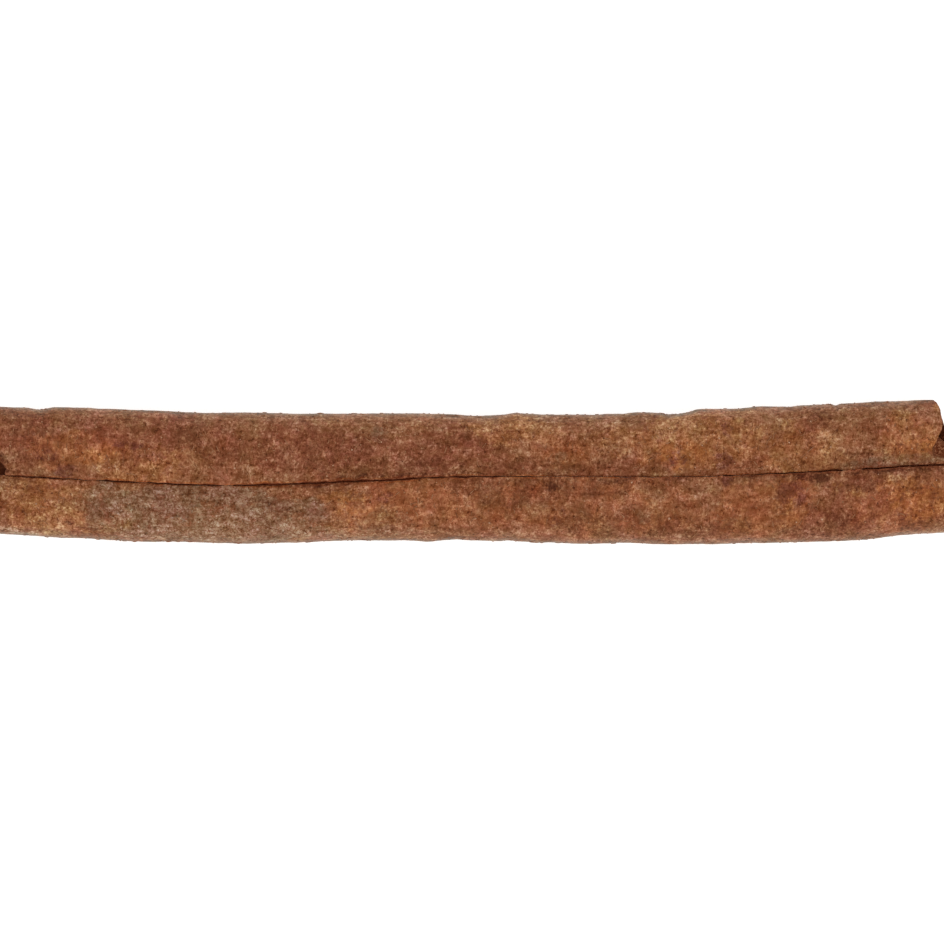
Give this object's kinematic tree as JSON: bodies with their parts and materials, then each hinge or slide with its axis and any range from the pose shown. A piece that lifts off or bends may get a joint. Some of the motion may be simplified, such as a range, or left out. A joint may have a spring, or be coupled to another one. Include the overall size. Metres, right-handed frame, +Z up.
{
  "type": "cinnamon stick",
  "caption": "Dried cassia bark stick: one strip of bark whose long edges have rolled inwards into scrolls that meet in a seam along its top, with roughly cut ends.",
  "frame": {"origin": "middle of the stick's footprint, on the surface that it lies on", "axes": "+X along the stick, +Y towards the scroll that is the upper one in the picture, +Z up, out of the side with the seam"},
  "size_m": [0.08, 0.012, 0.0058],
  "materials": {
    "bark": "matte"
  },
  "bodies": {
    "root": {"cinnamon_stick": "bark"}
  },
  "joints": []
}
